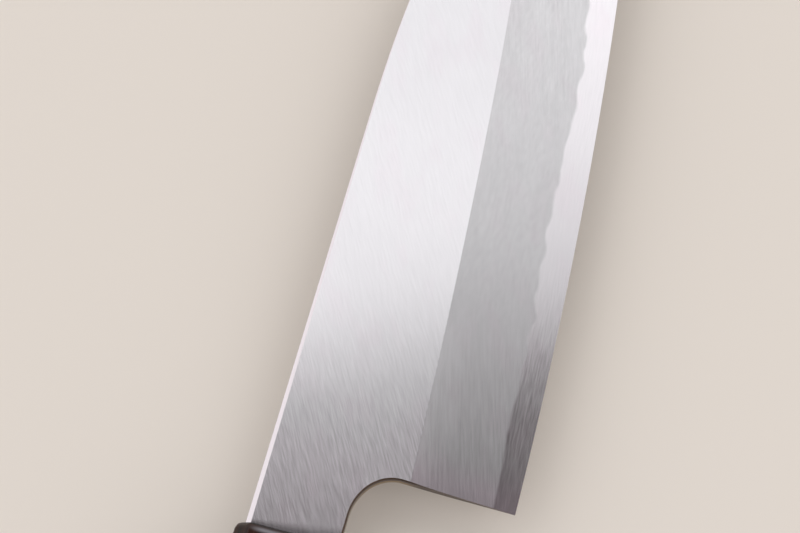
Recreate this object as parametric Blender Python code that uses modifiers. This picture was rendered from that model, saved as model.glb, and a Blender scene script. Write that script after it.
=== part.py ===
"""A santoku kitchen knife lying on its left side, put together as its maker does.

A hard steel core is forge welded between two soft steel claddings. The blank is ground to a flat and a wide
bevel on each side, which bares the core along the cutting edge, and its spine, neck and choil are rounded.
The tang is bedded in an octagonal wooden handle, whose oval tenon carries a horn ferrule.

Metres, +Z up. +X runs from the butt to the tip, +Y to the spine and +Z to the right face of the blade.
The origin is on the surface that the handle lies on, under the middle of the knife. All pieces are modelled
in the blade's own frame, which starts at the heel corner, in the middle of the blade's thickness.
"""

import math

import bmesh
import bpy
from mathutils import Vector, geometry

MM = 0.001

# Blade outline
EDGE_LENGTH = 167.0 * MM
HEEL_HEIGHT = 46.5 * MM
TIP_LIFT = 13.5 * MM
EDGE_START_SLOPE = 0.006
SPINE_STRAIGHT = 65.0 * MM
SPINE_DROP_POWER = 2.8
NOSE_POWER = 1.35
HEEL_LEAN = 0.7 * MM

# Neck and choil, the round notch behind the heel
NECK_LENGTH = 15.5 * MM
NECK_HEIGHT = 17.5 * MM
CHOIL_LENGTH = 8.8 * MM
CHOIL_HEIGHT = 7.5 * MM

# Thickness and grind
HEEL_THICKNESS = 3.0 * MM
TIP_THICKNESS = 1.2 * MM
FLAT_THINNING = 0.006
EDGE_THICKNESS = 0.1 * MM
BEVEL_WIDTH = 20.9 * MM
BEVEL_WIDTH_AT_HEEL = 19.7 * MM
BEVEL_EASE_LENGTH = 75.0 * MM
SPINE_ROUNDING = 1.0 * MM
SPINE_ROUNDING_AT_TIP = 0.1 * MM
CHOIL_ROUNDING = 0.4 * MM
HEEL_ROUNDING = 0.2 * MM

# Bare core steel along the edge, with its wavy upper line
HARD_STRIP_WIDTH = 5.2 * MM
HARD_STRIP_AT_HEEL = 4.3 * MM
STRIP_WAVE = 0.45 * MM
STRIP_WAVELENGTH = 47.0 * MM
STRIP_RIPPLE = 0.12 * MM
STRIP_RIPPLE_LENGTH = 13.0 * MM
STRIP_STEADY_LENGTH = 20.0 * MM

# Tang
TANG_LENGTH = 95.0 * MM
TANG_FRONT_HEIGHT = 11.0 * MM
TANG_END_HEIGHT = 5.5 * MM
TANG_END_THICKNESS = 1.8 * MM
TANG_ROUNDING = 0.3 * MM

# Handle and ferrule
HANDLE_THICKNESS = 18.0 * MM
HANDLE_FRONT_HEIGHT = 22.0 * MM
HANDLE_BUTT_HEIGHT = 25.5 * MM
HANDLE_LENGTH = 102.0 * MM
AXIS_BELOW_SPINE = 10.1 * MM
CORNER_CUT = 3.2 * MM
CORNER_EASE = 0.5 * MM
FERRULE_LENGTH = 26.0 * MM
FERRULE_RIM_ROUNDING = 2.0 * MM
BUTT_RIM_ROUNDING = 2.2 * MM
FERRULE_FRONT_WALL = 4.0 * MM
FERRULE_WALL = 1.4 * MM
FERRULE_SIDE_WALL = 2.6 * MM
BEDDING_WALL = 0.9 * MM

# Clearances between pieces that are glued, bedded or forge welded to each other
SEAT_GAP = 0.3 * MM
WELD_GAP = 0.01 * MM

# How finely the curved shapes are divided
STATION_STEP = 3.0 * MM
CHOIL_STEPS = 12
RIM_LOOPS = (0.1, 0.4, 1.0)
ROUNDING_STEPS = 4
TENON_SIDES = 48
CUTTER_REACH = 1.0 * MM
TENON_ROOT = 2.0 * MM
SNAP = 0.0001 * MM

# Places that follow from the sizes, in the blade's frame
NECK_BOTTOM_Y = HEEL_HEIGHT - NECK_HEIGHT
CHOIL_START_Y = NECK_BOTTOM_Y - CHOIL_HEIGHT
CHOIL_END_X = HEEL_LEAN - CHOIL_LENGTH
FERRULE_FRONT_X = -NECK_LENGTH
FERRULE_BACK_X = FERRULE_FRONT_X - FERRULE_LENGTH
SOCKET_FLOOR_X = FERRULE_FRONT_X - FERRULE_FRONT_WALL
TENON_FRONT_X = SOCKET_FLOOR_X - SEAT_GAP
HANDLE_FRONT_X = FERRULE_BACK_X - SEAT_GAP
BUTT_X = HANDLE_FRONT_X - HANDLE_LENGTH
SHOULDER_X = FERRULE_FRONT_X + SEAT_GAP
TANG_END_X = SHOULDER_X - TANG_LENGTH
AXIS_Y = HEEL_HEIGHT - AXIS_BELOW_SPINE


def smooth_ramp(share):
    """0 below 0, 1 above 1, and an eased rise between them."""
    share = min(max(share, 0.0), 1.0)
    return share * share * (3 - 2 * share)


def edge_y(x):
    """The cutting edge, straight at the heel and rising in a belly to the tip."""
    belly = TIP_LIFT - EDGE_START_SLOPE * EDGE_LENGTH
    return EDGE_START_SLOPE * x + belly * (x / EDGE_LENGTH) ** 2


def spine_y(x):
    """The spine, straight over the heel and dropping in one curve to a rounded nose."""
    run = max(0.0, (x - SPINE_STRAIGHT) / (EDGE_LENGTH - SPINE_STRAIGHT))
    left = max(0.0, 1 - run**SPINE_DROP_POWER) ** (1 / NOSE_POWER)
    return TIP_LIFT + (HEEL_HEIGHT - TIP_LIFT) * left


def bevel_width(x):
    """Width of the ground bevel, a little narrower at the heel."""
    ease = max(0.0, 1 - max(x, 0.0) / BEVEL_EASE_LENGTH)
    return BEVEL_WIDTH - (BEVEL_WIDTH - BEVEL_WIDTH_AT_HEEL) * ease**2


def ridge_y(x):
    """The ridge between the flat and the bevel."""
    return edge_y(x) + bevel_width(x)


def strip_y(x):
    """The wavy line where the claddings end and the core steel is bare."""
    steady = smooth_ramp(x / STRIP_STEADY_LENGTH)
    width = HARD_STRIP_AT_HEEL + (HARD_STRIP_WIDTH - HARD_STRIP_AT_HEEL) * steady
    wave = STRIP_WAVE * math.sin(math.tau * (x - 45 * MM) / STRIP_WAVELENGTH)
    ripple = STRIP_RIPPLE * math.sin(math.tau * x / STRIP_RIPPLE_LENGTH)
    return edge_y(x) + width + steady * (wave + ripple)


def flat_half(x, y):
    """Half thickness of the flat: one plane over blade and neck, then tapering along the tang."""
    thinning = (HEEL_THICKNESS - TIP_THICKNESS) / 2 / EDGE_LENGTH
    plane = HEEL_THICKNESS / 2 - thinning * max(x, SHOULDER_X) - FLAT_THINNING * (HEEL_HEIGHT - y)
    along_tang = max(0.0, (SHOULDER_X - x) / TANG_LENGTH)
    return plane + (TANG_END_THICKNESS / 2 - plane) * along_tang


def bevel_slope(x):
    """How fast the bevel thickens above the edge."""
    x = max(x, 0.0)
    return (flat_half(x, ridge_y(x)) - EDGE_THICKNESS / 2) / bevel_width(x)


def ground_half(x, y):
    """Half thickness after grinding: the lower of the flat and the bevel."""
    if x < CHOIL_END_X:
        return flat_half(x, y)
    bevel = EDGE_THICKNESS / 2 + bevel_slope(x) * (y - edge_y(max(x, 0.0)))
    return min(flat_half(x, y), bevel)


def weld_half(x):
    """Height of the weld between core and cladding above the middle of the blade."""
    x = max(x, 0.0)
    return EDGE_THICKNESS / 2 + bevel_slope(x) * (strip_y(x) - edge_y(x))


def core_half(x):
    """Height of the core's own face, just inside the weld."""
    return weld_half(x) - WELD_GAP


def core_line_y(x):
    """Where the bevel runs off the core's face."""
    return edge_y(x) + (core_half(x) - EDGE_THICKNESS / 2) / bevel_slope(x)


def heel_x(y):
    """The heel line, leaning a little forward above the corner."""
    return HEEL_LEAN * y / CHOIL_START_Y


def crossing(line, x_low, x_high):
    """The x at which line meets the spine, between two places on either side of it."""
    for _ in range(60):
        x = (x_low + x_high) / 2
        if spine_y(x) > line(x):
            x_low = x
        else:
            x_high = x
    return (x_low + x_high) / 2


def stations(end, *marks):
    """Evenly spaced places along the blade up to end, with each mark among them."""
    count = max(2, math.ceil(end / STATION_STEP))
    even = [end * i / count for i in range(1, count)]
    clear = [x for x in even if all(abs(x - mark) > 0.2 * STATION_STEP for mark in marks)]
    return sorted(clear + list(marks) + [end])


def choil_points():
    """The quarter ellipse from the neck down to the heel line."""
    for step in range(CHOIL_STEPS + 1):
        turn = math.pi / 2 * (1 - step / CHOIL_STEPS)
        yield CHOIL_END_X + CHOIL_LENGTH * math.cos(turn), CHOIL_START_Y + CHOIL_HEIGHT * math.sin(turn)


def rim(places, heel_y):
    """The rounded rim as (x, y, rounding): back along the spine, round the tang, the neck and the choil."""
    points = []
    for x in reversed(places):
        fade = smooth_ramp((EDGE_LENGTH - x) / SPINE_STRAIGHT)
        radius = SPINE_ROUNDING_AT_TIP + (SPINE_ROUNDING - SPINE_ROUNDING_AT_TIP) * fade
        points.append((x, spine_y(x), radius))
    points.append((0.0, HEEL_HEIGHT, SPINE_ROUNDING))
    points.append((SHOULDER_X + 2 * SPINE_ROUNDING, HEEL_HEIGHT, SPINE_ROUNDING))
    points.append((SHOULDER_X, HEEL_HEIGHT, TANG_ROUNDING))
    points.append((SHOULDER_X, AXIS_Y + TANG_FRONT_HEIGHT / 2, TANG_ROUNDING))
    points.append((TANG_END_X, AXIS_Y + TANG_END_HEIGHT / 2, TANG_ROUNDING))
    points.append((TANG_END_X, AXIS_Y - TANG_END_HEIGHT / 2, TANG_ROUNDING))
    points.append((SHOULDER_X, AXIS_Y - TANG_FRONT_HEIGHT / 2, TANG_ROUNDING))
    points.append((SHOULDER_X, NECK_BOTTOM_Y, TANG_ROUNDING))
    points.append((SHOULDER_X + 2 * CHOIL_ROUNDING, NECK_BOTTOM_Y, CHOIL_ROUNDING))
    points.extend((x, y, CHOIL_ROUNDING) for x, y in choil_points())
    points.append((heel_x(heel_y), heel_y, HEEL_ROUNDING))
    return points


def rim_loops(points, first, last):
    """Lines inside the rim, at shares of its rounding, from first(inset) to last(inset) on the wavy line."""
    for share in RIM_LOOPS:
        line = [first(share * points[0][2])]
        for before, here, after in zip(points, points[1:], points[2:]):
            back = Vector(here[:2]) - Vector(before[:2])
            ahead = Vector(after[:2]) - Vector(here[:2])
            bisector = (back.normalized() + ahead.normalized()).normalized()
            inward = Vector((-bisector.y, bisector.x))
            reach = share * here[2] / bisector.dot(ahead.normalized())
            line.append(Vector(here[:2]) + inward * reach)
        line.append(last(share * points[-1][2]))
        yield line


def rounded_share(points, x, y):
    """How much of the thickness is left at a place near the rim: 0 on it, 1 past its rounding."""
    place, share = Vector((x, y)), 1.0
    for start, end in zip(points, points[1:]):
        a, b = Vector(start[:2]), Vector(end[:2])
        along = min(max((place - a).dot(b - a) / (b - a).length_squared, 0.0), 1.0)
        radius = start[2] + (end[2] - start[2]) * along
        share = min(share, (place - a.lerp(b, along)).length / radius)
    return math.sqrt(max(0.0, 1 - (1 - share) ** 2))


def new_object(name, mesh, collection, location=(0, 0, 0)):
    """An object in its collection, carried by the knife's empty."""
    obj = bpy.data.objects.new(name, mesh)
    collection.objects.link(obj)
    obj.parent = knife
    obj.location = location
    return obj


def slab(name, outline, lines, upper, lower):
    """A plate with the given outline between two height formulas, divided along the given lines."""
    points = [Vector(p[:2]) for p in outline]
    edges = []
    for line in lines:
        start = len(points)
        points.extend(Vector(p[:2]) for p in line)
        edges.extend((i, i + 1) for i in range(start, len(points) - 1))
    inside_only = 1
    flat = geometry.delaunay_2d_cdt(points, edges, [range(len(outline))], inside_only, SNAP)
    used = {i for triangle in flat[2] for i in triangle}
    bm = bmesh.new()
    top, bottom = {}, {}
    for i in sorted(used):
        x, y = flat[0][i]
        top[i] = bm.verts.new((x, y, upper(x, y)))
        closed = upper(x, y) - lower(x, y) < SNAP
        bottom[i] = top[i] if closed else bm.verts.new((x, y, lower(x, y)))
    sides = {}
    for a, b, c in flat[2]:
        if any(top[i] is not bottom[i] for i in (a, b, c)):
            bm.faces.new((top[a], top[b], top[c]))
            bm.faces.new((bottom[c], bottom[b], bottom[a]))
        for side in ((a, b), (b, c), (c, a)):
            sides[side] = side[::-1]
    for a, b in (side for side, other in sides.items() if other not in sides):
        wall = list(dict.fromkeys((bottom[a], bottom[b], top[b], top[a])))
        if len(wall) > 2:
            bm.faces.new(wall)
    bmesh.ops.recalc_face_normals(bm, faces=bm.faces)
    mesh = bpy.data.meshes.new(name)
    bm.to_mesh(mesh)
    bm.free()
    return new_object(name, mesh, pieces)


def core_steel():
    """The hard steel core, from the tip to the end of the tang, bare along the cutting edge."""
    meeting = crossing(core_line_y, EDGE_LENGTH / 2, EDGE_LENGTH)
    places = stations(EDGE_LENGTH, meeting)
    start_y = core_line_y(0.0)
    back = [(x, y) for x, y, _ in rim(places[:-1], start_y)]
    edge = [(x, edge_y(x)) for x in [0.0] + places]
    crease = [(heel_x(start_y), start_y)]
    crease.extend((x, core_line_y(x)) for x in places if x <= meeting)
    columns = [[(x, core_line_y(x)), (x, spine_y(x))] for x in places if x < meeting]

    def half(x, y):
        return min(core_half(x), ground_half(x, y))

    return slab("core_steel", edge + back, [crease] + columns, half, lambda x, y: -half(x, y))


def cladding(name, side):
    """A soft steel side of the blade: +1 is the right one, -1 the left one."""
    meeting = crossing(strip_y, EDGE_LENGTH / 2, EDGE_LENGTH)
    ridge_end = crossing(ridge_y, SPINE_STRAIGHT, EDGE_LENGTH)
    places = stations(meeting, ridge_end)
    start_y = strip_y(0.0)
    worn = rim(places, start_y)
    line = [(x, strip_y(x)) for x in places[:-1]]

    def on_line(x):
        return Vector((x, strip_y(x)))

    loops = rim_loops(worn, lambda d: on_line(meeting - 1.3 * d), lambda d: on_line(heel_x(start_y) + d))
    ridge = [(heel_x(ridge_y(0.0)), ridge_y(0.0))]
    ridge.extend((x, ridge_y(x)) for x in places if x <= ridge_end)
    columns = [[(x, strip_y(x)), (x, spine_y(x))] for x in places[:-1]]

    def outer(x, y):
        weld = weld_half(x)
        return weld + max(0.0, ground_half(x, y) - weld) * rounded_share(worn, x, y)

    inner_face, outer_face = (lambda x, y: side * weld_half(x)), (lambda x, y: side * outer(x, y))
    upper, lower = (outer_face, inner_face) if side > 0 else (inner_face, outer_face)
    return slab(name, line + worn, [ridge, *loops, *columns], upper, lower)


def handle_height(x):
    """Height of the octagon, growing from the front of the ferrule to the butt."""
    share = (FERRULE_FRONT_X - x) / (FERRULE_FRONT_X - BUTT_X)
    return HANDLE_FRONT_HEIGHT + (HANDLE_BUTT_HEIGHT - HANDLE_FRONT_HEIGHT) * share


def octagon(height, thickness):
    """A rectangle across the handle with its corners cut, as (y, z) points."""
    y, z = height / 2, thickness / 2
    quarter = [(y, z - CORNER_CUT), (y - CORNER_CUT, z)]
    half = quarter + [(-b, a) for b, a in reversed(quarter)]
    return half + [(-b, -a) for b, a in half]


def tang_section(x, margin):
    """A rectangle round the tang at x, larger by the margin on every side, as (y, z) points."""
    along = (SHOULDER_X - x) / TANG_LENGTH
    y = (TANG_FRONT_HEIGHT + (TANG_END_HEIGHT - TANG_FRONT_HEIGHT) * along) / 2 + margin
    thick_start = flat_half(SHOULDER_X, HEEL_HEIGHT)
    z = thick_start + (TANG_END_THICKNESS / 2 - thick_start) * along + margin
    return [(y, -z), (y, z), (-y, z), (-y, -z)]


def loft(name, front_x, front, back_x, back, collection):
    """A bar between two sections with as many corners, placed on the handle's axis with its front at front_x."""
    bm = bmesh.new()
    front_ring = [bm.verts.new((0.0, y, z)) for y, z in front]
    back_ring = [bm.verts.new((back_x - front_x, y, z)) for y, z in back]
    bm.faces.new(front_ring)
    bm.faces.new(reversed(back_ring))
    for i in range(len(front)):
        j = (i + 1) % len(front)
        bm.faces.new((front_ring[j], front_ring[i], back_ring[i], back_ring[j]))
    bmesh.ops.recalc_face_normals(bm, faces=bm.faces)
    mesh = bpy.data.meshes.new(name)
    bm.to_mesh(mesh)
    bm.free()
    return new_object(name, mesh, collection, (front_x, AXIS_Y, 0.0))


def octagonal_bar(name, front_x, back_x, rim_at_x, rim_rounding):
    """A length of the handle, with one rim rounded and its long corners eased."""
    front = octagon(handle_height(front_x), HANDLE_THICKNESS)
    back = octagon(handle_height(back_x), HANDLE_THICKNESS)
    bar = loft(name, front_x, front, back_x, back, pieces)
    bm = bmesh.new()
    bm.from_mesh(bar.data)
    weight = bm.edges.layers.float.new("bevel_weight_edge")
    for edge in bm.edges:
        ends = [vert.co.x + front_x for vert in edge.verts]
        if abs(ends[0] - ends[1]) > SNAP:
            edge[weight] = CORNER_EASE / rim_rounding
        elif abs(ends[0] - rim_at_x) < SNAP:
            edge[weight] = 1.0
    bm.to_mesh(bar.data)
    bm.free()
    rounding = bar.modifiers.new("rounding", "BEVEL")
    rounding.limit_method = "WEIGHT"
    rounding.width = rim_rounding
    rounding.segments = ROUNDING_STEPS
    return bar


def oval_bar(name, front_x, back_x, margin, collection):
    """The oval tenon, or a larger copy of it that cuts its socket."""
    height = handle_height(FERRULE_FRONT_X) - 2 * (FERRULE_WALL + SEAT_GAP) + 2 * margin
    thickness = HANDLE_THICKNESS - 2 * (FERRULE_SIDE_WALL + SEAT_GAP) + 2 * margin
    bpy.ops.mesh.primitive_cylinder_add(vertices=TENON_SIDES, radius=0.5, depth=1.0)
    bar = bpy.context.object
    bar.name = name
    for owner in bar.users_collection:
        owner.objects.unlink(bar)
    collection.objects.link(bar)
    bar.scale = (thickness, height, front_x - back_x)
    bar.rotation_euler = (0.0, math.pi / 2, 0.0)
    bpy.ops.object.transform_apply(location=False, rotation=True, scale=True)
    bar.parent = knife
    bar.location = ((front_x + back_x) / 2, AXIS_Y, 0.0)
    return bar


def cutter(obj):
    """Marks an object as a tool that only cuts or joins."""
    obj.hide_render = True
    obj.display_type = "WIRE"
    return obj


def combine(target, tool, operation):
    """Cuts the tool from the target, or joins it on."""
    modifier = target.modifiers.new(f"{operation.lower()}_{tool.name}", "BOOLEAN")
    modifier.operation = operation
    modifier.solver = "EXACT"
    modifier.object = tool


def ferrule():
    """The horn collar: a round-rimmed octagon with a slot for the tang and an oval socket behind it."""
    collar = octagonal_bar("ferrule", FERRULE_FRONT_X, FERRULE_BACK_X, FERRULE_FRONT_X, FERRULE_RIM_ROUNDING)
    slot_front, slot_back = FERRULE_FRONT_X + CUTTER_REACH, SOCKET_FLOOR_X - CUTTER_REACH
    sections = [tang_section(x, SEAT_GAP) for x in (slot_front, slot_back)]
    slot = cutter(loft("tang_slot", slot_front, sections[0], slot_back, sections[1], cutters))
    combine(collar, slot, "DIFFERENCE")
    socket = oval_bar("tenon_socket", SOCKET_FLOOR_X, FERRULE_BACK_X - CUTTER_REACH, SEAT_GAP, cutters)
    combine(collar, cutter(socket), "DIFFERENCE")
    return collar


def handle_body():
    """The wooden handle, with its oval tenon at the front and a blind tapered hole for the bedded tang."""
    body = octagonal_bar("handle_body", HANDLE_FRONT_X, BUTT_X, BUTT_X, BUTT_RIM_ROUNDING)
    tenon = oval_bar("tenon", TENON_FRONT_X, HANDLE_FRONT_X - TENON_ROOT, 0.0, cutters)
    combine(body, cutter(tenon), "UNION")
    margin = 2 * SEAT_GAP + BEDDING_WALL
    mouth, floor = TENON_FRONT_X + CUTTER_REACH, TANG_END_X - margin
    sections = [tang_section(x, margin) for x in (mouth, floor)]
    hole = cutter(loft("tang_hole", mouth, sections[0], floor, sections[1], cutters))
    combine(body, hole, "DIFFERENCE")
    return body


def tang_bedding():
    """The hardened filling between the tang and the wood, open at the front."""
    margin = SEAT_GAP + BEDDING_WALL
    back = TANG_END_X - margin
    sections = [tang_section(x, margin) for x in (TENON_FRONT_X, back)]
    bedding = loft("tang_bedding", TENON_FRONT_X, sections[0], back, sections[1], pieces)
    mouth, floor = TENON_FRONT_X + CUTTER_REACH, TANG_END_X - SEAT_GAP
    sections = [tang_section(x, SEAT_GAP) for x in (mouth, floor)]
    room = cutter(loft("tang_room", mouth, sections[0], floor, sections[1], cutters))
    combine(bedding, room, "DIFFERENCE")
    return bedding


def dress(obj, name, colour, roughness, metallic=0.0):
    """Gives a piece its own material."""
    material = bpy.data.materials.new(name)
    material.use_nodes = True
    shader = material.node_tree.nodes["Principled BSDF"]
    shader.inputs["Base Color"].default_value = (*colour, 1.0)
    shader.inputs["Roughness"].default_value = roughness
    shader.inputs["Metallic"].default_value = metallic
    obj.data.materials.clear()
    obj.data.materials.append(material)


def knife_place():
    """Where the heel corner lies, so that the origin is under the middle of the knife."""
    middle_x = (EDGE_LENGTH + BUTT_X) / 2
    top = max(HEEL_HEIGHT, AXIS_Y + HANDLE_BUTT_HEIGHT / 2)
    bottom = min(0.0, AXIS_Y - HANDLE_BUTT_HEIGHT / 2)
    return -middle_x, -(top + bottom) / 2, HANDLE_THICKNESS / 2


def new_collection(name):
    """A collection in the scene."""
    collection = bpy.data.collections.new(name)
    bpy.context.scene.collection.children.link(collection)
    return collection


for old in list(bpy.data.objects):
    bpy.data.objects.remove(old)
pieces = new_collection("santoku_knife")
cutters = new_collection("cutters")
knife = bpy.data.objects.new("knife", None)
knife.location = knife_place()
pieces.objects.link(knife)

dress(core_steel(), "hard_steel", (0.62, 0.62, 0.64), 0.22, 1.0)
dress(cladding("cladding_right", 1), "right_soft_steel", (0.56, 0.56, 0.58), 0.32, 1.0)
dress(cladding("cladding_left", -1), "left_soft_steel", (0.56, 0.56, 0.58), 0.32, 1.0)
dress(ferrule(), "dark_horn", (0.05, 0.028, 0.022), 0.25)
dress(handle_body(), "pale_wood", (0.62, 0.46, 0.30), 0.6)
dress(tang_bedding(), "bedding_resin", (0.16, 0.11, 0.06), 0.5)
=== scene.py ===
"""The looks of a santoku knife lying on its left side.

The blade is a blank of hard steel between two soft steel claddings. It is chamfered along its spine, rounded
along its choil, and then ground on both sides. That leaves a satin flat, a straight ridge, a hazy bevel and a
bright strip of bare hard steel along the cutting edge. A horn ferrule and an octagonal wooden handle follow
behind it.

Metres, +Z up. Blade sizes are in the blade's own frame: x runs from the heel corner to the tip, y from the
cutting edge to the spine, and z from the middle of the thickness to the right face.
"""

import logging
import math
from dataclasses import dataclass
from enum import Enum
from typing import Any, Callable

import bpy
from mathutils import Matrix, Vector


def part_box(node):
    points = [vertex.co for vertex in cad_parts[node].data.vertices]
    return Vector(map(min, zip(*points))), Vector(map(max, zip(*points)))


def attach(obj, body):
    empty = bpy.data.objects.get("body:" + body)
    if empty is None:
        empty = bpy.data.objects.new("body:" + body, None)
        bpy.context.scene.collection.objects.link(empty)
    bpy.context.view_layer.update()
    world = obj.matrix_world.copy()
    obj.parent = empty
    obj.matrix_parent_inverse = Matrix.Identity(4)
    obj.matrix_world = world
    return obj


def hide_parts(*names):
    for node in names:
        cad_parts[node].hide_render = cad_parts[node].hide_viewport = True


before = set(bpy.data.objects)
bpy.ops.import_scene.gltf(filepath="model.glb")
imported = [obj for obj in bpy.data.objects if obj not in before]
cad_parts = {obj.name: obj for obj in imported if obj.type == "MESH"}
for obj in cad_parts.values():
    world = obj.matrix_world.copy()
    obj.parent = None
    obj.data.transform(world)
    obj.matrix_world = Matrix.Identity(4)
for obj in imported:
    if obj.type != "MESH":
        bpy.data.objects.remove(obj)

LOG = logging.getLogger("santoku")
MM = 0.001
BODY = "root"


class Cut(Enum):
    """What one solid does to another."""

    JOIN = "UNION"
    REMOVE = "DIFFERENCE"
    KEEP = "INTERSECT"


class Rim(Enum):
    """A rim of the blade, with the name of the mark on its faces."""

    SPINE = "spine_rim"
    CHOIL_CORNER = "choil_corner"
    CHOIL_WALL = "choil_wall"


class Value:
    """A number in a shader, so that its maths is written as Python expressions."""

    def __init__(self, nodes: "Nodes", socket: bpy.types.NodeSocket) -> None:
        """Wraps the output that carries the number."""
        self.nodes = nodes
        self.socket = socket

    def math(self, operation: str, *numbers: "Value | float") -> "Value":
        """The result of a Math node that works on some numbers, in order."""
        return self.nodes.value("ShaderNodeMath", 0, {"operation": operation}, dict(enumerate(numbers)))

    def __add__(self, other: "Value | float") -> "Value":
        """Sum."""
        return self.math("ADD", self, other)

    def __sub__(self, other: "Value | float") -> "Value":
        """Difference."""
        return self.math("SUBTRACT", self, other)

    def __rsub__(self, other: float) -> "Value":
        """Difference from a plain number."""
        return self.math("SUBTRACT", other, self)

    def __mul__(self, other: "Value | float") -> "Value":
        """Product."""
        return self.math("MULTIPLY", self, other)

    def __truediv__(self, other: "Value | float") -> "Value":
        """Quotient."""
        return self.math("DIVIDE", self, other)

    def __pow__(self, power: float) -> "Value":
        """Power."""
        return self.math("POWER", self, power)

    def __abs__(self) -> "Value":
        """Size without its sign."""
        return self.math("ABSOLUTE", self)

    __radd__ = __add__
    __rmul__ = __mul__

    def ramp(self, low: float, high: float) -> "Value":
        """An eased rise from 0 at one number to 1 at another."""
        inputs = {"Value": self, "From Min": low, "From Max": high}
        return self.nodes.value("ShaderNodeMapRange", "Result", {"interpolation_type": "SMOOTHSTEP"}, inputs)


Number = float | Value
Colour = tuple[float, float, float]
Size = tuple[float, float, float]
Span = tuple[float, float]
Curve = Callable[[float], float]
Height = Callable[[float, float], float]


def at_least(number: Number, low: float) -> Number:
    """The larger of a number and a limit, in Python or in a shader."""
    return number.math("MAXIMUM", number, low) if isinstance(number, Value) else max(number, low)


def at_most(number: Number, high: float) -> Number:
    """The smaller of a number and a limit, in Python or in a shader."""
    return number.math("MINIMUM", number, high) if isinstance(number, Value) else min(number, high)


def sine(angle: Number) -> Number:
    """The sine of an angle in radians, in Python or in a shader."""
    return angle.math("SINE", angle) if isinstance(angle, Value) else math.sin(angle)


def eased(share: Number) -> Number:
    """0 below 0, 1 above 1, and an eased rise between them."""
    share = at_most(at_least(share, 0.0), 1.0)
    return share * share * (3.0 - 2.0 * share)


class Nodes:
    """Adds nodes to one material or world."""

    def __init__(self, owner: bpy.types.Material | bpy.types.World) -> None:
        """Gives a material or a world an empty node tree.

        Args:
            owner: The material or world.
        """
        owner.use_nodes = True
        self.owner = owner
        self.tree = owner.node_tree
        self.tree.nodes.clear()

    def add(
        self, kind: str, settings: dict[str, Any] | None = None, inputs: dict[str | int, Any] | None = None
    ) -> bpy.types.Node:
        """Adds one node.

        Args:
            kind: The node's type.
            settings: Its settings, set before its sockets. stops are a ramp's, as (place, colour) pairs.
            inputs: The value or the link of each socket, by name or number. A colour has three numbers.

        Returns:
            The node.
        """
        node = self.tree.nodes.new(kind)
        for name, setting in (settings or {}).items():
            if name != "stops":
                setattr(node, name, setting)
                continue
            elements = node.color_ramp.elements
            for number, (place, colour) in enumerate(setting):
                element = elements[number] if number < len(elements) else elements.new(place)
                element.position, element.color = place, (*colour, 1.0)
        for name, value in (inputs or {}).items():
            socket = node.inputs[name]
            value = value.socket if isinstance(value, Value) else value
            if isinstance(value, bpy.types.NodeSocket):
                self.tree.links.new(value, socket)
            else:
                socket.default_value = (*value, 1.0) if socket.type == "RGBA" else value
        return node

    def value(self, kind: str, output: str | int, settings: dict[str, Any], inputs: dict[Any, Any]) -> Value:
        """One output of a new node, as a number."""
        return Value(self, self.add(kind, settings, inputs).outputs[output])

    def place(self) -> bpy.types.NodeSocket:
        """The point on the piece, in the frame's metres."""
        return self.add("ShaderNodeTexCoord").outputs["Object"]

    def turned(self, origin: Vector, angle: float, size: Size) -> bpy.types.NodeSocket:
        """The point on the piece in a frame with its own origin, turn about Z and lengths of units."""
        inputs = {"Vector": self.place(), "Location": origin, "Rotation": (0.0, 0.0, angle), "Scale": size}
        return self.add("ShaderNodeMapping", {"vector_type": "TEXTURE"}, inputs).outputs["Vector"]

    def axes(self, origin: Vector) -> list[Value]:
        """The point's x, y and z, in metres from an origin."""
        point = {"Vector": self.turned(origin, 0.0, (1.0, 1.0, 1.0))}
        return [Value(self, output) for output in self.add("ShaderNodeSeparateXYZ", {}, point).outputs]

    def mix(self, share: Number, low: Any, high: Any, blend: str = "MIX") -> bpy.types.NodeSocket:
        """The first colour at a share of 0, and at 1 the second, or both as the blend says."""
        settings = {"data_type": "RGBA", "blend_type": blend}
        return self.add("ShaderNodeMix", settings, {0: share, 6: low, 7: high}).outputs[2]

    def scaled(self, colour: Any, share: Value) -> bpy.types.NodeSocket:
        """A colour made lighter or darker by a share that it is multiplied by."""
        inputs = {0: colour, "Scale": share}
        return self.add("ShaderNodeVectorMath", {"operation": "SCALE"}, inputs).outputs[0]

    def surface(self, inputs: dict[str, Any], heights: list[tuple[Value, float]]) -> bpy.types.Material:
        """Ends the material in one Principled shader.

        Args:
            inputs: The shader's sockets.
            heights: Reliefs, each with its height in metres, laid on one another.

        Returns:
            The material.
        """
        normal = {}
        for relief, height in heights:
            bump = {"Height": relief, "Distance": height, "Strength": 1.0, **normal}
            normal = {"Normal": self.add("ShaderNodeBump", {}, bump).outputs["Normal"]}
        shader = self.add("ShaderNodeBsdfPrincipled", {}, {**inputs, **normal})
        self.add("ShaderNodeOutputMaterial", {}, {"Surface": shader.outputs["BSDF"]})
        return self.owner


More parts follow.
